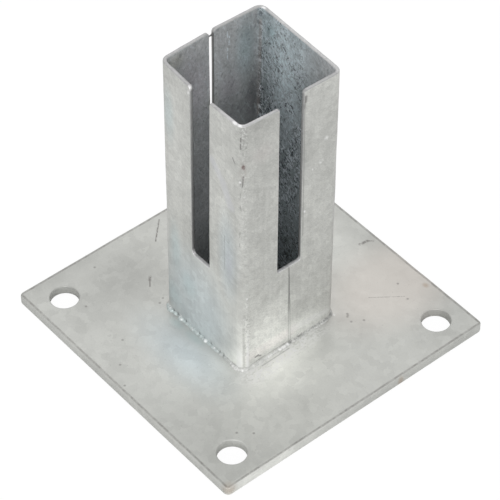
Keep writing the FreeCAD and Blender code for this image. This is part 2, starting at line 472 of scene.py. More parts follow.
class Nodes:
    """A material in the making, whose nodes are added, set and linked in one call each."""

    def __init__(self, name):
        self.material = bpy.data.materials.new(name)
        self.material.use_nodes = True
        self.tree = self.material.node_tree
        self.tree.nodes.clear()

    def add(self, kind, *values, **settings):
        """New node with the settings given, and its first inputs linked or set in turn."""
        node = self.tree.nodes.new(kind)
        for setting, value in settings.items():
            setattr(node, setting, value)
        for socket, value in zip(node.inputs, values):
            self.join(socket, value)
        return node

    def join(self, socket, value):
        """Link an output to a socket, or set a plain value there."""
        if isinstance(value, bpy.types.NodeSocket):
            self.tree.links.new(value, socket)
        elif value is not None:
            socket.default_value = value

    def put(self, node, **values):
        """The node, after its inputs of these names were linked or set."""
        for name, value in values.items():
            self.join(node.inputs[name], value)
        return node

    def math(self, operation, a, b=None, clamp=False):
        return self.add("ShaderNodeMath", a, b, operation=operation, use_clamp=clamp).outputs[0]

    def close(self, shader):
        """Join the shader to the material's output."""
        self.add("ShaderNodeOutputMaterial", shader.outputs[0])
        return self.material


class Finish(Nodes):
    """A finish of zinc, which holds its colour so far and how light or dark that is.

    Lengths are millimetres, read from Object coordinates.
    """

    def __init__(self, name):
        super().__init__(name)
        place = self.add("ShaderNodeTexCoord").outputs["Object"]
        self.place = self.vector("SCALE", place, scale=1 / MM)
        split = self.add("ShaderNodeSeparateXYZ", self.place)
        self.x, self.y, self.z = split.outputs

    def times(self, *factors):
        return reduce(lambda a, b: self.math("MULTIPLY", a, b), factors)

    def plus(self, *terms):
        return reduce(lambda a, b: self.math("ADD", a, b), terms)

    def either(self, *masks):
        """The strongest of several masks."""
        return reduce(lambda a, b: self.math("MAXIMUM", a, b), masks)

    def vector(self, operation, a, b=None, scale=None):
        node = self.add("ShaderNodeVectorMath", a, b, operation=operation)
        if scale is not None:
            self.put(node, Scale=scale)
        return node.outputs["Value" if operation in ("LENGTH", "DOT_PRODUCT") else "Vector"]

    def stretch(self, sizes, offset=(0, 0, 0), lean=0.0):
        """Place divided by a size along each axis, so that one unit is one feature.

        Upright features tilt by the lean, which is sideways length for each upward one.
        """
        moved = self.vector("ADD", self.place, offset)
        if lean:
            sideways = self.vector("SCALE", (lean, lean, 0), scale=self.z)
            moved = self.vector("ADD", moved, sideways)
        return self.vector("DIVIDE", moved, sizes)

    def noise(self, size, detail=2.0, rough=0.5, offset=(0, 0, 0), warp=0.0, lean=0.0):
        """Noise from 0 to 1, whose features are about a size, or sizes, of millimetres."""
        sizes = size if isinstance(size, tuple) else (size, size, size)
        node = self.add("ShaderNodeTexNoise", self.stretch(sizes, offset, lean))
        self.put(node, Scale=1.0, Detail=detail, Roughness=rough, Distortion=warp)
        return node.outputs[0]

    def crystals(self, size):
        """Zinc crystals: one random grey per cell, with borders bent by noise."""
        place = self.stretch((size, size, size))
        bend = self.put(self.add("ShaderNodeTexNoise", place), Scale=1.5)
        bent = self.vector("ADD", place, bend.outputs["Color"])
        cells = self.put(self.add("ShaderNodeTexVoronoi", bent), Scale=1.0)
        return self.add("ShaderNodeSeparateColor", cells.outputs["Color"]).outputs[0]

    def ramp(self, value, low, high, at_low=0.0, at_high=1.0):
        """Value carried from one range to another, smoothly and clamped at both ends."""
        return self.add("ShaderNodeMapRange", value, low, high, at_low, at_high,
                        interpolation_type="SMOOTHSTEP").outputs[0]

    def swing(self, value, amount):
        """Noise from 0 to 1 turned into a factor round 1, up and down by an amount."""
        return self.add("ShaderNodeMapRange", value, 0.25, 0.75, 1 - amount, 1 + amount,
                        clamp=False).outputs[0]

    def patch(self, centre, radii, soft=1.0, strength=1):
        """Mask that has its strength at a centre and fades to 0 at an ellipsoid's radii."""
        away = self.vector("DIVIDE", self.vector("SUBTRACT", self.place, centre), radii)
        return self.ramp(self.vector("LENGTH", away), 1 - soft, 1, strength, 0)

    def patches(self, places):
        """The strongest of several patches."""
        return self.either(*[self.patch(*place) for place in places])

    def stroke(self, start, end, width, strength=1):
        """Mask of a fine line between two places, soft at its borders."""
        along = Vector(end) - Vector(start)
        from_start = self.vector("SUBTRACT", self.place, start)
        share = self.math("DIVIDE", self.vector("DOT_PRODUCT", from_start, tuple(along)),
                          along.length_squared, clamp=True)
        nearest = self.vector("SCALE", tuple(along), scale=share)
        away = self.vector("LENGTH", self.vector("SUBTRACT", from_start, nearest))
        return self.ramp(away, 0.3 * width, width, strength, 0)

    def strokes(self, lines):
        """The strongest of several strokes."""
        return self.either(*[self.stroke(*line) for line in lines])

    def winding(self, value, middle, width):
        """Mask of thin winding lines, where a noise comes close to a middle value."""
        away = self.math("ABSOLUTE", self.plus(value, -middle))
        return self.ramp(away, 0.25 * width, width, 1, 0)

    def mix(self, share, a, b):
        """Colour a where the share is 0, colour b where it is 1."""
        node = self.add("ShaderNodeMix", data_type="RGBA")
        for socket, value in zip((0, 6, 7), (share, a, b)):
            self.join(node.inputs[socket], value)
        return node.outputs[2]

    def shade(self, colour, factor=None):
        """Colour made lighter or darker by a factor, or else by the finish's own."""
        return self.vector("SCALE", colour, scale=factor or self.factor)

    def base(self, colour, factor, pools=()):
        """Start from a colour, a factor and soft pools of light, each (centre, radii, gain)."""
        for centre, radii, gain in pools:
            factor = self.times(factor, self.plus(self.patch(centre, radii, strength=gain), 1))
        self.factor = factor
        self.colour = self.shade(colour)

    def coat(self, mask, colour, amount=None):
        """Lay a colour over the finish where a mask says, up to an amount."""
        share = self.times(mask, amount) if amount else mask
        self.colour = self.mix(share, self.colour, colour)

    def finish(self, mottle, roughness, height):
        """Close the material with its shader, whose bump has its height in millimetres.

        The roughness goes from its first limit to its second with the mottle.
        """
        bump = self.put(self.add("ShaderNodeBump"), Strength=1.0, Distance=MM, Height=height)
        shader = self.add("ShaderNodeBsdfPrincipled", self.colour)
        self.put(shader, Metallic=ZINC_METALLIC, Normal=bump.outputs["Normal"],
                 Roughness=self.ramp(mottle, 0.2, 0.8, *roughness))
        return self.close(shader)


def foot_shade_and_highlights(f, pit_shade_grey, glint_grey, glint_amount):
    """Painted shade in the pits and along the creases at the foot, then painted highlights on the
    lumps.
    """
    low = f.ramp(f.z, 6.4, 7.6, 1, 0)
    pits = f.patches([((x, y, 6), (r, r, 2.5)) for x, y, r in WELD_PITS])
    rough = f.ramp(f.noise(1.0, detail=3, rough=0.75, offset=(2, 9, 4)), 0.44, 0.6)
    rear_line = f.times(f.stroke(*FOOT_SHADE_LINE_REAR), f.plus(f.times(rough, 0.8), 0.2))
    left_line = f.times(f.stroke(*FOOT_SHADE_LINE_LEFT), rough)
    lines = f.either(rear_line, f.strokes(FOOT_SHADE_LINES_FRONT), left_line)
    # Painted shade in the pits and along the creases
    f.coat(f.times(f.either(pits, lines), low), grey(pit_shade_grey), 0.6)
    # Painted highlights on the lumps
    glints = f.patches([((x, y, 6), (1.5 * r, 1.2 * r, 2.5)) for x, y, r in WELD_GLINTS])
    broken = f.ramp(f.noise(1.1, detail=3, rough=0.7, offset=(7, 4, 2)), 0.38, 0.56)
    f.coat(f.times(glints, broken, low), grey(glint_grey), glint_amount)


def plate_zinc():
    """Zinc on the plate: a soft cloudy grey with faint crystals, specks and stains."""
    f = Finish("plate_zinc")
    clouds = f.noise(34, detail=3, rough=0.55)
    mottle = f.noise(6, detail=5, rough=0.62, offset=(11, 4, 0), warp=0.7)
    grain = f.noise(0.8, detail=3, rough=0.65)
    factor = f.times(f.swing(mottle, 0.045), f.swing(f.crystals(4.2), 0.025),
                     f.swing(grain, 0.035), f.swing(clouds, 0.04))
    f.base((0.515, 0.52, 0.495), factor, PLATE_POOLS)

    warm_zinc = f.shade((0.61, 0.575, 0.535), f.swing(mottle, 0.03))
    f.coat(f.patch(*PLATE_WARM), warm_zinc, 0.75)
    f.coat(f.patch(*PLATE_COOL), f.shade((0.51, 0.555, 0.57)), 0.85)
    f.coat(f.patches(PLATE_TEAL), (0.5, 0.6, 0.6, 1), 0.5)

    nicks = f.noise(1.6, detail=3, rough=0.7, offset=(3, 5, 0))
    scratch = f.times(f.strokes(PLATE_SCRATCHES), f.ramp(nicks, 0.34, 0.54, 0, 0.8))
    # A dark broken line along the plate's border, partly painted shade where the top rounds over
    # the edge, partly chipped zinc
    border = f.either(f.math("ABSOLUTE", f.x), f.math("ABSOLUTE", f.y))
    chips = f.noise(3.0, detail=5, rough=0.8, offset=(8, 8, 0))
    edge = f.times(f.winding(border, 74.0, 0.75), f.ramp(chips, 0.36, 0.66, 0.35, 1.0),
                   f.ramp(f.z, 4, 4.8, 0, 0.7))
    specks = f.patches([((x, y, 5), (0.8, 0.8, 1.5), 0.6, 0.55) for x, y in PLATE_SPECKS])
    sprinkle = f.ramp(f.noise(1.0, detail=1, offset=(6, 2, 8)), 0.71, 0.75, 0, 0.2)
    f.coat(f.either(scratch, specks, sprinkle, edge), grey(0.16, 0.06))
    f.coat(f.patches(PLATE_STAINS), (0.34, 0.25, 0.17, 1), 0.5)

    # A pale, broken band on the plate along the right foot, with darker flecks in it
    skirt = f.patches(PLATE_SKIRT)
    skin = f.noise((1.4, 2.4, 1.4), detail=2, offset=(9, 1, 3), warp=1.0)
    pale_band = f.times(skirt, f.plus(f.ramp(skin, 0.45, 0.58), 0.25))
    f.coat(pale_band, grey(0.86), 0.55)
    f.coat(f.times(skirt, f.ramp(skin, 0.4, 0.33)), grey(0.25), 0.22)
    # Painted shade and highlights round the foot of the stub
    foot_shade_and_highlights(f, 0.1, 0.93, 0.8)
    height = f.plus(f.times(mottle, 0.07), f.times(grain, 0.01))
    return f.finish(mottle, (0.42, 0.58), height)


def wall_zinc():
    """Zinc on the outside of the stub: clouds, upright runs, stains near the foot, and painted
    light and shade.
    """
    f = Finish("wall_zinc")
    front = f.ramp(f.y, -24.5, -26.5)
    clouds = f.noise((15, 15, 24), detail=3, rough=0.55, offset=(5, 0, 3), warp=0.4)
    runs = f.noise((1.7, 1.7, 36), detail=4, rough=0.6)
    mottle = f.noise((2.6, 2.6, 4.4), detail=5, rough=0.7, warp=0.8, lean=0.7)
    grain = f.noise((0.7, 0.7, 1.1), detail=4, rough=0.75, lean=0.6)
    flakes = f.noise((1.3, 1.3, 1.9), detail=3, rough=0.65, offset=(8, 2, 6), warp=1.0, lean=0.3)
    rough = f.ramp(f.times(front, f.ramp(f.z, 70, 50)), 0, 1, 1, 0.5)
    grit = f.times(f.plus(grain, -0.5), rough, 0.62)
    blotch = f.plus(f.times(f.plus(mottle, -0.5), 0.5), f.times(f.plus(flakes, -0.5), 0.26))
    factor = f.times(f.plus(f.times(blotch, rough), 1), f.swing(f.crystals(3.4), 0.03),
                     f.plus(grit, 1), f.swing(runs, 0.05), f.swing(clouds, 0.07))
    f.base((0.525, 0.53, 0.505), factor, WALL_POOLS)

    cool = f.times(front, f.patches(WALL_COOL))
    f.coat(cool, f.shade((0.485, 0.54, 0.56)), 0.7)
    f.coat(f.patches(WALL_TEAL), f.shade((0.42, 0.515, 0.53)), 0.45)
    violet = f.either(f.strokes(WALL_VIOLET_LINES), f.patch(*WALL_VIOLET))
    f.coat(violet, (0.56, 0.57, 0.62, 1), 0.38)
    pink = f.either(f.patch(*WALL_PINK), f.stroke(*WALL_PINK_LINE))
    f.coat(pink, f.shade((0.56, 0.53, 0.515)), 0.4)
    f.coat(f.stroke(*WALL_PALE_LINE), grey(0.82), 0.3)

    corner = f.times(f.stroke(*NEAR_CORNER_LINE), f.ramp(f.z, 48, 20, 0, 0.3))
    dashes = f.ramp(f.noise((1.4, 1.4, 4), detail=3, offset=(1, 2, 5)), 0.52, 0.62, 0, 0.4)
    dashes = f.times(dashes, f.stroke(*NEAR_CORNER_DASHES))
    speckle = f.ramp(f.noise(1.1, detail=2, offset=(3, 1, 7)), 0.66, 0.73, 0, 0.16)
    beaded = f.patches(WALL_BEADED)
    bites = f.noise((0.9, 0.9, 1.2), detail=3, rough=0.7)
    bitten = f.times(beaded, f.ramp(bites, 0.52, 0.62, 0, 0.4))
    # Dark marks in the zinc; the first two wall lines are painted shade up the bend of the right
    # corner
    dark = f.either(f.strokes(WALL_LINES), corner, speckle, bitten, dashes)
    f.coat(dark, grey(0.15, 0.03))
    f.coat(f.patch(*RUST_SPOT), (0.12, 0.075, 0.07, 1), 0.85)
    halo = f.times(f.patch(*RUST_HALO), f.ramp(flakes, 0.35, 0.6))
    f.coat(halo, (0.3, 0.235, 0.22, 1), 0.3)

    # Painted highlight up the foot of the near corner, on both sides of its bend
    highlight_stripe = f.either(f.times(f.stroke(*HIGHLIGHT_STRIPE_RIGHT), f.ramp(f.z, 36, 14)),
                      f.times(f.stroke(*HIGHLIGHT_STRIPE_LEFT), f.ramp(f.z, 21, 10)))
    pearls = f.patches([(place, (0.8, 0.8, 1.0), 0.7) for place in WALL_PEARLS])
    smudges = f.patches([(place, (1.6, 1.8, 2.2)) for place in WALL_SMUDGES])
    smudges = f.times(smudges, f.ramp(flakes, 0.36, 0.56, 0, 0.7))
    flecks = f.times(beaded, f.ramp(bites, 0.46, 0.36, 0, 0.45))
    # The painted highlight up the near corner's foot, in one coat with pale pearls, smudges and
    # flecks
    f.coat(f.either(f.times(highlight_stripe, 0.6), f.times(pearls, 0.8), smudges, flecks), grey(0.88))
    # Painted shade in the gap of the seam, fainter low down and at its top
    seam = f.times(f.stroke(*SEAM_SHADE_LINE), f.ramp(f.z, 20, 34, 0.35, 1.0),
                   f.ramp(f.z, 58, 50, 0.5, 1))
    f.coat(seam, grey(0.03))
    # Painted shade and highlights round the foot of the stub
    foot_shade_and_highlights(f, 0.1, 0.93, 0.7)
    height = f.plus(f.times(mottle, 0.1), f.times(grit, 0.15), f.times(runs, 0.08),
                    f.times(f.either(pearls, f.times(highlight_stripe, 0.3)), 0.2))
    return f.finish(mottle, (0.4, 0.58), height)


def inner_zinc():
    """Zinc inside the stub: bluish and coarse, with glints, pits and drawn-out scratches."""
    f = Finish("inner_zinc")
    back = f.ramp(f.plus(f.x, f.y), 0.5, 3.0)
    left = f.ramp(f.x, -17, -21)
    clouds = f.noise((11, 11, 16), detail=3, rough=0.55, offset=(2, 7, 1), warp=0.5)
    mottle = f.noise((2.8, 2.8, 4.4), detail=3, rough=0.6, warp=1.4, lean=0.5)
    bands = f.noise((4, 4, 50), detail=3, rough=0.6, offset=(1, 3, 0))
    grain = f.noise((0.75, 0.75, 1.1), detail=4, rough=0.75)
    factor = f.times(f.swing(mottle, 0.2), f.swing(grain, 0.22), f.swing(clouds, 0.08),
                     f.swing(bands, 0.1))
    f.base((0.455, 0.465, 0.47), factor, INNER_POOLS)
    cool = f.times(back, f.ramp(f.x, 26, -4))
    f.coat(cool, f.shade((0.405, 0.475, 0.5)), 0.8)
    f.coat(f.patches(INNER_TEAL), f.shade((0.34, 0.44, 0.46)), 0.5)
    plum = f.times(left, f.patches(INNER_PLUM))
    f.coat(plum, f.shade((0.46, 0.43, 0.465)), 0.5)
    f.coat(f.patches(INNER_MOSS), f.shade((0.4, 0.395, 0.33)), 0.4)

    sides = f.ramp(f.plus(f.x, f.times(f.z, 0.25)), 50, 36)
    flocks = f.noise((7, 7, 13), detail=2, rough=0.5, offset=(5, 3, 6), warp=1.0)
    etched = f.times(back, f.either(sides, 0.25, f.patch(*INNER_ETCHED)),
                     f.ramp(flocks, 0.38, 0.54, 0.5, 1.15))
    strokes = f.noise((2.2, 2.2, 4.6), detail=2, rough=0.55, offset=(4, 4, 9), warp=1.7, lean=0.6)
    swirls = f.noise((3.4, 3.4, 6.5), detail=2, rough=0.5, offset=(9, 5, 1), warp=2.6, lean=-0.3)
    crossing = f.noise((2.2, 2.2, 3.2), detail=1, offset=(2, 6, 5), warp=1.0)
    pits = f.either(f.ramp(strokes, 0.48, 0.4), f.winding(swirls, 0.45, 0.045))
    pits = f.times(etched, pits, f.ramp(crossing, 0.36, 0.5), f.ramp(f.z, 125, 105, 0.66, 0.82))
    glints = f.either(f.ramp(strokes, 0.53, 0.61), f.winding(swirls, 0.54, 0.035))
    glints = f.times(etched, glints, f.ramp(crossing, 0.38, 0.54),
                     f.ramp(f.z, 122, 102, 0.75, 1.25))
    faint = f.noise((1.4, 1.4, 4.4), detail=2, offset=(7, 3, 5), lean=0.3)
    scars = f.noise((1.5, 1.5, 3.6), detail=2, offset=(3, 8, 2), lean=-0.4)
    # Dark pits, scars and a scratch, and painted shade down the inside of the back corner
    dark = f.either(pits, f.strokes(INNER_LINES), f.ramp(scars, 0.43, 0.32, 0, 0.28))
    f.coat(dark, (0.055, 0.065, 0.075, 1))
    scratches = f.times(f.strokes(INNER_SCRATCHES), f.ramp(strokes, 0.38, 0.5, 0, 0.8))
    light = f.either(glints, scratches, f.ramp(faint, 0.56, 0.68, 0, 0.24))
    f.coat(light, (0.74, 0.8, 0.84, 1))
    rusty = f.times(f.stroke(*BACK_CORNER_RUST), f.ramp(bands, 0.3, 0.7, 0.18, 0.34))
    f.coat(rusty, (0.36, 0.29, 0.25, 1))
    height = f.plus(f.times(mottle, 0.2), f.times(strokes, 0.2))
    return f.finish(mottle, (0.42, 0.6), height)


def rim_zinc():
    """Zinc on the cut edges of the sheet, with painted light along the top and painted shade down
    the slots.
    """
    f = Finish("rim_zinc")
    mottle = f.noise(2.2, detail=4, rough=0.7, warp=0.8)
    grain = f.noise(0.6, detail=3, rough=0.7)
    # Painted light and shade: the top and the slot floors lighter, the slot sides darker, the
    # more so low down and away from the +X and -Y faces
    top = f.ramp(f.z, 152.6, 154.4)
    floor = f.ramp(f.z, 58, 56)
    outward = f.either(f.x, f.times(f.y, -1.0))
    upright = f.times(f.ramp(f.z, 150, 60, 0.27, 0.2), f.ramp(outward, 25.8, 28.2, 0.6, 1.35))
    level = f.mix(floor, f.shade((1, 1.01, 1.0), upright), grey(0.6))
    # Painted highlights along the crest of the rim
    level = f.mix(top, level, f.mix(f.patches(RIM_CREST_HIGHLIGHTS), grey(0.41), grey(0.5)))
    f.base(level, f.times(f.swing(mottle, 0.2), f.swing(grain, 0.1)))
    # Painted highlights in spots along the rim
    f.coat(f.patches(RIM_SPOT_HIGHLIGHTS), grey(0.93), 0.8)
    height = f.plus(f.times(mottle, 0.2), f.times(grain, 0.05))
    return f.finish(mottle, (0.36, 0.5), height)


def weld_zinc():
    """Zinc over the weld: the plate's grey with a teal cast, painted highlights on its lumps and
    crest, painted shade in its pits.
    """
    f = Finish("weld_zinc")
    mottle = f.noise(1.3, detail=4, rough=0.7, warp=0.8)
    f.base((0.5, 0.505, 0.485), f.swing(mottle, 0.18), WALL_POOLS[:WELD_POOL_COUNT])
    cool = f.times(f.ramp(f.y, -26, -27.5), f.ramp(f.x, 24, 4))
    f.coat(cool, f.shade((0.49, 0.575, 0.575)), 0.7)
    # Painted highlight along the weld's crest on the right face
    bead = f.times(f.stroke(*WELD_CREST_HIGHLIGHT), f.ramp(mottle, 0.42, 0.58, 0.3, 1.0))
    f.coat(bead, grey(0.92), 0.75)
    # Painted shade and highlights round the foot of the stub
    foot_shade_and_highlights(f, 0.08, 0.95, 0.9)
    return f.finish(mottle, (0.3, 0.5), f.times(mottle, 0.3))


def plate_quarter(side_x, side_y):
    """Patches of one quarter of the plate, from the hole out to the quarter's border.

    A point is found from its place round the border and its share of the straight line from
    the hole's rim to that border. Where the border is the plate's own edge, a rounded
    section is carried down it, and another lines the hole.
    """
    inset = PLATE_HALF - PLATE_EDGE_ROUND
    bend = PLATE_CORNER - PLATE_EDGE_ROUND
    run = np.linspace(0, 1, SIDE_POINTS)[:, None]
    turn = np.linspace(0, math.pi / 2, 6)[1:-1, None]
    right_side = np.array([inset, 0]) + run * np.array([0, inset - bend])
    spokes = np.hstack([np.cos(turn), np.sin(turn)])
    corner = (inset - bend) + bend * spokes
    back_side = np.array([inset - bend, inset]) - run * np.array([inset - bend, 0])
    inner_side = np.array([0, inset]) - run[1:] * np.array([0, inset])
    front_side = run[1:-1] * np.array([inset, 0])
    border = np.concatenate([right_side, corner, back_side, inner_side, front_side])
    outwards = np.concatenate([np.tile((1.0, 0.0), (len(right_side), 1)), spokes,
                               np.tile((0.0, 1.0), (len(back_side), 1))])
    edge_count = len(outwards)
    centre = np.array([HOLE_PLACE, HOLE_PLACE])
    ray = unit(border - centre)
    rim = centre + ray * (HOLE_RADIUS + HOLE_RIM_ROUND)
    share = np.linspace(0, 1, RING_COUNT)[:, None, None] ** RING_CROWDING
    flat = rim + (border - rim) * share
    mirror = np.array([side_x, side_y])
    flip = side_x * side_y < 0

    def patch(points, closed):
        rows, columns = points.shape[:2]
        quads = grid_quads(rows, columns, closed_columns=closed)
        return points, quads[:, ::-1] if flip else quads

    mirrored = flat * mirror
    wave = swell(mirrored[..., 0], mirrored[..., 1], PLATE_WAVELENGTH, seed=3)
    top = raised(mirrored, PLATE_TOP - PLATE_SINK + PLATE_WAVE * wave)
    sparse = mirrored[::UNDERSIDE_STEP]
    bottom = raised(sparse, np.zeros(sparse.shape[:2]))
    patches = [patch(top[::-1], True), patch(bottom, True)]
    top_border, top_rim = top[-1][..., 2], top[0][..., 2]
    angle = np.linspace(0, math.pi / 2, 5)
    out = np.concatenate([np.sin(angle), np.sin(angle[::-1])])
    drop = np.concatenate([1 - np.cos(angle), np.cos(angle[::-1]) - 1])
    for line, normal, radius, above, closed in (
            (border[:edge_count], outwards, PLATE_EDGE_ROUND, top_border[:edge_count], False),
            (rim, -ray, HOLE_RIM_ROUND, top_rim, True)):
        section = line[None] + normal[None] * (radius * out)[:, None, None]
        above = np.tile(above, (len(angle), 1))
        base = np.concatenate([above, np.zeros_like(above)])
        wall = raised(section * mirror, base - radius * drop[:, None])
        patches.append(patch(wall if closed else wall[::-1], closed))
    return patches


def build_plate(material):
    """The plate: four quarters, each the mirror of its neighbour, merged at their borders."""
    patches = []
    for side_x, side_y in ((1, 1), (-1, 1), (-1, -1), (1, -1)):
        patches += plate_quarter(side_x, side_y)
    points, quads = joined(patches)
    plate = add_piece("galvanised_plate", points, quads.tolist(), [material])
    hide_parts("base_plate")


def slot_edges(middle_at_floor, middle_at_top, floor_width, top_width, floor):
    """A slot's two edges as (at the foot, at the top) along X or Y, straight lines."""
    sides = np.array([-0.5, 0.5])
    at_floor = middle_at_floor + sides * floor_width
    at_top = middle_at_top + sides * top_width
    slope = (at_top - at_floor) / (STUB_HEIGHT - floor)
    return list(zip(at_floor - slope * floor, at_top))


class Wall:
    """A folded wall as a surface over two lengths: along its foot, and the height.

    Corners are (foot, top, bend): the bend is the length of wall that it takes from each
    side of the corner. A point lies on the straight line between the places at the foot
    and at the top that have the same share of the way, shifted inwards by its depth.
    """

    RUN_POINTS = 41
    BEND_POINTS = 17
    STRAIGHT = 0.999999

    def __init__(self, corners, seed):
        bends = [c[2] for c in corners]
        self.lines = [self.folded(np.array([c[level] for c in corners]), bends)
                      for level in (0, 1)]
        self.along = run_lengths(self.lines[0])
        self.seed = seed

    def folded(self, corners, bends):
        """Line through the corners, with an arc in place of each corner but the ends."""
        pieces = []
        start = corners[0]
        share = np.linspace(0, 1, self.RUN_POINTS)[:, None]
        for before, corner, after, bend in zip(corners, corners[1:], corners[2:], bends[1:]):
            back, ahead = unit(before - corner), unit(after - corner)
            first, last = corner + back * bend, corner + ahead * bend
            if back @ ahead < -self.STRAIGHT:
                arc = first + (last - first) * np.linspace(0, 1, self.BEND_POINTS)[:, None]
            else:
                half_angle = math.acos(back @ ahead) / 2
                middle = corner + unit(back + ahead) * (bend / math.cos(half_angle))
                arc = round_between(middle, first, last, self.BEND_POINTS)
            pieces += [start + (arc[0] - start) * share, arc[1:-1]]
            start = arc[-1]
        pieces.append(start + (corners[-1] - start) * share)
        return np.concatenate(pieces)

    def reach(self, runs, axis, edge):
        """Places along the foot of an edge that lies in some runs, for its foot and its top."""
        step = self.RUN_POINTS + self.BEND_POINTS - 2
        part = slice(runs[0] * step, runs[-1] * step + self.RUN_POINTS)
        places = []
        for line, value in zip(self.lines, edge):
            values, along = line[part, axis], self.along[part]
            order = np.argsort(values)
            places.append(np.interp(value, values[order], along[order]))
        return places

    def lay(self, flat, depth):
        """Points in space of places on the unfolded wall, at a depth below its outside."""
        along, height = flat[..., 0], flat[..., 1]
        level = height / STUB_HEIGHT
        plan, heading = np.zeros(flat.shape), np.zeros(flat.shape)
        for line, weight in zip(self.lines, (1 - level, level)):
            slope = np.gradient(line, self.along, axis=0)
            for axis in (0, 1):
                plan[..., axis] += weight * np.interp(along, self.along, line[:, axis])
                heading[..., axis] += weight * np.interp(along, self.along, slope[:, axis])
        outwards = unit(heading)[..., ::-1] * np.array([-1, 1])
        depth = depth + WALL_WAVE * swell(along, height, WALL_WAVELENGTH, self.seed)
        depth += WALL_RIPPLE * swell(along, height, RIPPLE_LENGTH, self.seed + 1)
        dip = RIM_DIP + RIM_DIP_WAVE * swell(along, 0, RIM_DIP_WAVELENGTH, self.seed + 2)
        near_rim = np.clip((height - STUB_HEIGHT) / RIM_DIP_REACH + 1, 0, 1)
        sunk = height - np.clip(dip, *RIM_DIP_LIMITS) * near_rim
        plan = plan - outwards * depth[..., None]
        return raised(plan, sunk + PLATE_TOP)


def rounded_outline(corners, step=1.2, arc_points=7):
    """Closed line through corners that are (place, radius), with points at even steps."""
    places = [np.array(c[0], float) for c in corners]
    arcs = []
    for i, (_, radius) in enumerate(corners):
        back = unit(places[i - 1] - places[i])
        ahead = unit(places[(i + 1) % len(places)] - places[i])
        half_angle = math.acos(back @ ahead) / 2
        tangent = radius / math.tan(half_angle)
        middle = places[i] + unit(back + ahead) * (radius / math.sin(half_angle))
        arcs.append(round_between(middle, places[i] + back * tangent,
                                  places[i] + ahead * tangent, arc_points))
    line = []
    for arc, next_arc in zip(arcs, arcs[1:] + arcs[:1]):
        run = next_arc[0] - arc[-1]
        share = np.linspace(0, 1, max(2, round(np.linalg.norm(run) / step)) + 1)[1:-1, None]
        line += [arc, arc[-1] + run * share]
    return np.concatenate(line)


def inset(outline, distance):
    """Closed outline, anticlockwise, with every point moved inwards by a distance."""
    run = unit(np.roll(outline, -1, axis=0) - outline)
    after = np.stack([-run[:, 1], run[:, 0]], axis=-1)
    before = np.roll(after, 1, axis=0)
    facing = 1 + (after * before).sum(axis=1, keepdims=True)
    return outline + (after + before) * distance / facing


def spread_inside(outline, columns, rows, margin):
    """Points of a grid that lie inside a closed outline, no nearer to it than a margin."""
    points = np.stack(np.meshgrid(columns, rows), axis=-1).reshape(-1, 1, 2)
    run = np.roll(outline, -1, axis=0) - outline
    from_start = points - outline
    crossed = (from_start[..., 1] < 0) != (from_start[..., 1] < run[:, 1])
    rise = np.where(run[:, 1] == 0, 1, run[:, 1])
    left_of = from_start[..., 0] < from_start[..., 1] / rise * run[:, 0]
    within = (crossed & left_of).sum(axis=1) % 2 == 1
    share = np.clip((from_start * run).sum(axis=-1) / (run ** 2).sum(axis=-1), 0, 1)
    gap = np.linalg.norm(from_start - share[..., None] * run, axis=-1).min(axis=1)
    return points[within & (gap > margin), 0]


def build_sheet(name, node, wall, corners, materials):
    """One folded sheet: its outside, its inside, and rounded rims that join them.

    Both faces are the same mesh over the unfolded wall, one a sheet's thickness below the
    other. The rims are rings of the outline, each with its own inset and depth.
    """
    outline = rounded_outline(corners)
    turn = np.linspace(0, math.pi / 2, 4)
    rounding = np.stack([1 - np.sin(turn), 1 - np.cos(turn)], axis=-1) * RIM_ROUND
    outer_half = np.concatenate([[(RIM_ROUND + RIM_BORDER, 0)], rounding])
    section = np.concatenate([outer_half, (outer_half * (1, -1) + (0, SHEET))[::-1]])
    rings = np.stack([wall.lay(inset(outline, away), depth) for away, depth in section])
    rim_quads = grid_quads(len(section), len(outline), closed_columns=True)

    border = inset(outline, section[0][0])
    columns = wall.along[::2]
    columns = columns[np.concatenate([[True], np.diff(columns) > COLUMN_STEP])]
    grid = spread_inside(border, columns, np.arange(1.0, STUB_HEIGHT, ROW_STEP), GRID_MARGIN)
    flat = np.concatenate([border, grid])
    loop = np.arange(len(border))
    loop_edges = np.stack([loop, np.roll(loop, -1)], axis=-1)
    inside_only, nearest = 1, 1e-5
    filled = delaunay_2d_cdt(flat.tolist(), loop_edges.tolist(), [], inside_only, nearest)
    places = np.array([tuple(v) for v in filled[0]])
    triangles = np.array(filled[2])
    count = len(rings.reshape(-1, 3))
    points = np.concatenate([rings.reshape(-1, 3), wall.lay(places, 0), wall.lay(places, SHEET)])
    faces = rim_quads.tolist() + (triangles[:, ::-1] + count).tolist()
    faces += (triangles + count + len(places)).tolist()
    outside, inside, rim = 0, 1, 2
    rows = [outside] * 2 + [rim] * 5 + [inside] * 2
    numbers = np.repeat(rows, len(outline)).tolist()
    numbers += [outside] * len(triangles) + [inside] * len(triangles)
    sheet = add_piece(name, points, faces, materials, numbers)
    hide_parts(node)


def on_edge(edge, height):
    """Place on the unfolded wall where a straight edge reaches a height."""
    return edge[0] + (edge[1] - edge[0]) * height / STUB_HEIGHT, height


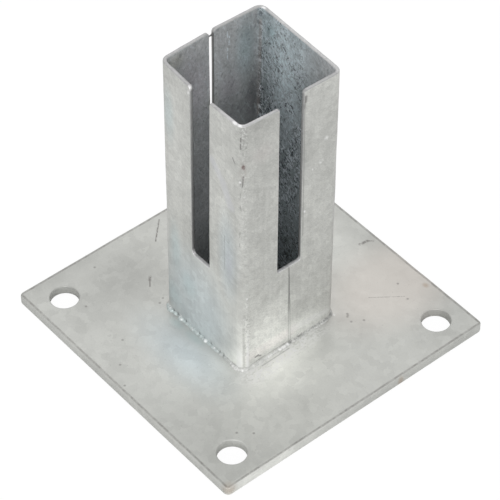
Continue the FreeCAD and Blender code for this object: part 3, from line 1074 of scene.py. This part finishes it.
def build_channels(materials):
    """Both folded channels, mouth to mouth, with their slots, seam and slit."""
    top = STUB_HEIGHT
    web_left, web_right = slot_edges(*WEB_SLOT, WEB_SLOT_FLOOR)
    front_notch = slot_edges(*SEAM_SLOT, FRONT_NOTCH_FLOOR)[0]
    rear_notch = slot_edges(*SEAM_SLOT, REAR_NOTCH_FLOOR)[1]

    front = Wall([(*FRONT_SEAM, 0), ((FOOT_RIGHT, FOOT_FRONT), NEAR_TOP, OUTER_BEND),
                  ((CREASE_FOOT, FOOT_FRONT), CREASE_TOP, CREASE_BEND),
                  ((FOOT_LEFT, FOOT_FRONT), LEFT_TOP, OUTER_BEND), (*FRONT_SLIT, 0)], seed=11)
    notch = front.reach([0], 1, front_notch)
    right = front.reach([1, 2], 0, web_right)
    left = front.reach([1, 2], 0, web_left)
    build_sheet("front_sheet", "front_channel", front, [
        ((0, 0), END_CORNER),
        ((front.along[-1], 0), END_CORNER),
        ((front.along[-1], top), SIDE_TONGUE_CORNER),
        (on_edge(left, top), SIDE_TONGUE_CORNER),
        (on_edge(left, WEB_SLOT_FLOOR), WEB_SLOT_LEFT_CORNER),
        (on_edge(right, WEB_SLOT_FLOOR), WEB_SLOT_RIGHT_CORNER),
        (on_edge(right, top), NEAR_TONGUE_CORNER),
        (on_edge(notch, top), NEAR_TONGUE_CORNER),
        (on_edge(notch, FRONT_NOTCH_FLOOR), NOTCH_CORNER),
        ((0, FRONT_NOTCH_FLOOR), END_CORNER)], materials)

    rear = Wall([(*REAR_SLIT, 0), ((FOOT_LEFT, FOOT_BACK), BACK_TOP, OUTER_BEND),
                 ((FOOT_RIGHT, FOOT_BACK), RIGHT_TOP, OUTER_BEND), (*REAR_SEAM, 0)], seed=21)
    notch = rear.reach([2], 1, rear_notch)
    build_sheet("rear_sheet", "rear_channel", rear, [
        ((0, 0), END_CORNER),
        ((rear.along[-1], 0), END_CORNER),
        ((rear.along[-1], REAR_NOTCH_FLOOR), END_CORNER),
        (on_edge(notch, REAR_NOTCH_FLOOR), NOTCH_CORNER),
        (on_edge(notch, top), SIDE_TONGUE_CORNER),
        ((0, top), SIDE_TONGUE_CORNER)], materials)


def rod(line, radii, sides=10):
    """Round rod along a line of points, closed by a point at both ends.

    A point is the line's place plus the radius times (cos a) u + (sin a) v, where u and v
    are square to the line's whole direction.
    """
    along = unit(line[-1] - line[0])
    aside = [0.3, 0.5, 0.8]
    u = unit(np.cross(along, aside))
    v = np.cross(along, u)
    angle = np.arange(sides) * math.tau / sides
    spoke = np.cos(angle)[:, None] * u + np.sin(angle)[:, None] * v
    line = np.concatenate([line[:1], line, line[-1:]])
    radii = np.concatenate([[0], radii, [0]])
    points = line[:, None] + spoke[None] * radii[:, None, None]
    return points, grid_quads(len(line), sides, closed_columns=True)


def build_bridge(material):
    """The thread of zinc that has set across the slit near the top of the stub."""
    share = np.linspace(0, 1, 13)
    start, end = np.array(BRIDGE_START), np.array(BRIDGE_END)
    line = start + (end - start) * share[:, None]
    points, quads = rod(line, BRIDGE_WAIST + BRIDGE_FLARE * (2 * share - 1) ** 2)
    add_piece("zinc_bridge", points, quads.tolist(), [material])


def foot_line():
    """Line round the foot of the stub, a square with round corners, and its way outwards."""
    middle = np.array([(FOOT_RIGHT + FOOT_LEFT) / 2, (FOOT_FRONT + FOOT_BACK) / 2])
    half = (FOOT_RIGHT - FOOT_LEFT) / 2 - OUTER_BEND
    straight = np.linspace(-half, half, FOOT_SIDE_POINTS)
    turn = np.linspace(0, math.pi / 2, FOOT_CORNER_POINTS)[1:-1]
    run = np.stack([np.full_like(straight, half + OUTER_BEND), straight], -1)
    spokes = np.stack([np.cos(turn), np.sin(turn)], -1)
    side = np.concatenate([run, half + OUTER_BEND * spokes])
    side_out = np.concatenate([np.tile([1.0, 0.0], (len(run), 1)), spokes])
    line, out = [], []
    for quarter in range(4):
        spin = quarter * math.pi / 2
        rotation = np.array([[math.cos(spin), math.sin(spin)], [-math.sin(spin), math.cos(spin)]])
        line.append(middle + side @ rotation)
        out.append(side_out @ rotation)
    return np.concatenate(line), np.concatenate(out)


def seam_filling():
    """Weld metal behind the foot of the seam: a rod that thins as it rises."""
    height = np.linspace(PLATE_TOP, FILLING_TOP, FILLING_POINTS)
    share = (height[:, None] - PLATE_TOP) / STUB_HEIGHT
    foot, top = np.array([FRONT_SEAM, REAR_SEAM]).mean(axis=0)
    seam = foot * (1 - share) + top * share - (FILLING_INSET, 0)
    wave = 1 + FILLING_WAVE * swell(height, 0, wavelength=4, seed=9)
    radii = np.linspace(*FILLING_RADII, FILLING_POINTS) * wave
    return rod(np.column_stack([seam, height]), radii)


def build_weld(material):
    """The weld: a round-backed section carried round the foot of the stub.

    A point is the foot line's place, moved outwards by the section's reach and up by its
    lift, both times a size that wavers along the way, with lumps and pits at their places.
    The section's root lies hidden in the walls and the plate.
    """
    line, out = foot_line()
    along = run_lengths(line)
    size = WELD_SIZE + WELD_WAVE * swell(along, 0, wavelength=6, seed=5)
    size += WELD_RIPPLE * swell(along, 0, wavelength=2.2, seed=6)
    for places, gain in ((WELD_GLINTS, WELD_LUMP), (WELD_PITS, WELD_DENT)):
        for x, y, radius in places:
            size += gain * np.exp(-((line - (x, y)) ** 2).sum(axis=1) / radius ** 2)
    size = np.clip(size, *WELD_SIZE_LIMITS)
    share = np.linspace(0, 1, 11)
    bulge = WELD_BULGE * np.sin(math.pi * share)
    away = np.concatenate([1 - share + bulge, [WELD_ROOT, WELD_ROOT, WELD_TOE]])
    rise = np.concatenate([share + bulge, [WELD_TOE, WELD_ROOT, WELD_ROOT]])
    reach = away[:, None] * WELD_LEG * size
    lift = rise[:, None] * WELD_HEIGHT * size
    plan = line + out * reach[..., None]
    points = raised(plan, PLATE_TOP - WELD_SINK + lift)
    quads = grid_quads(*lift.shape, closed_rows=True, closed_columns=True)
    points, quads = joined([(points, quads), seam_filling()])
    weld = add_piece("weld", points, quads.tolist(), [material])
    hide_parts("weld_bead")


def build_stage():
    """Pale floor that shows white to the camera and keeps a faint shadow."""
    corners = [(x * FLOOR_REACH * MM, y * FLOOR_REACH * MM, FLOOR_HEIGHT * MM)
               for x, y in ((-1, -1), (1, -1), (1, 1), (-1, 1))]
    mesh = bpy.data.meshes.new("floor")
    mesh.from_pydata(corners, [], [(0, 1, 2, 3)])
    floor = new_object("floor", mesh)
    nodes = Nodes("pale_floor")
    diffuse = nodes.add("ShaderNodeBsdfDiffuse", grey(0.8))
    glow = nodes.add("ShaderNodeEmission", grey(1), FLOOR_GLOW)
    seen = nodes.add("ShaderNodeLightPath").outputs["Is Camera Ray"]
    share = nodes.math("MULTIPLY", seen, FLOOR_GLOW_SHARE)
    blend = nodes.add("ShaderNodeMixShader", share, diffuse.outputs[0], glow.outputs[0])
    mesh.materials.append(nodes.close(blend))


def build_light():
    """Even white surroundings and two large soft lamps."""
    world = bpy.data.worlds.new("studio")
    world.use_nodes = True
    sky = world.node_tree.nodes["Background"]
    sky.inputs["Color"].default_value = grey(1)
    sky.inputs["Strength"].default_value = SKY_STRENGTH
    bpy.context.scene.world = world
    for name, place, size, power in LAMPS:
        lamp = bpy.data.lights.new(name, "AREA")
        lamp.size = size * MM
        lamp.energy = power
        holder = new_object(name, lamp)
        holder.location = Vector(place) * MM
        aim = Vector(LAMP_AIM) * MM - holder.location
        holder.rotation_euler = aim.to_track_quat("-Z", "Y").to_euler()


def build_camera():
    """Camera at the photo's angle, a long lens from above the near corner."""
    lens = bpy.data.cameras.new("camera")
    lens.sensor_width = CAMERA_SENSOR
    lens.lens = CAMERA_LENS
    lens.shift_x, lens.shift_y = CAMERA_SHIFT
    turn = Matrix.Identity(3)
    for angle, axis in ((CAMERA_AZIMUTH, "Z"), (90 - CAMERA_ELEVATION, "X"), (CAMERA_ROLL, "Z")):
        turn = turn @ Matrix.Rotation(math.radians(angle), 3, axis)
    place = (Vector(CAMERA_TARGET) + turn.col[2] * CAMERA_DISTANCE) * MM
    camera = new_object("camera", lens)
    camera.matrix_world = Matrix.Translation(place) @ turn.to_4x4()
    bpy.context.scene.camera = camera


build_plate(plate_zinc())
sheet_zinc = [wall_zinc(), inner_zinc(), rim_zinc()]
build_channels(sheet_zinc)
build_bridge(sheet_zinc[2])
build_weld(weld_zinc())
build_stage()
build_light()
build_camera()
bpy.context.scene.view_settings.view_transform = "Standard"
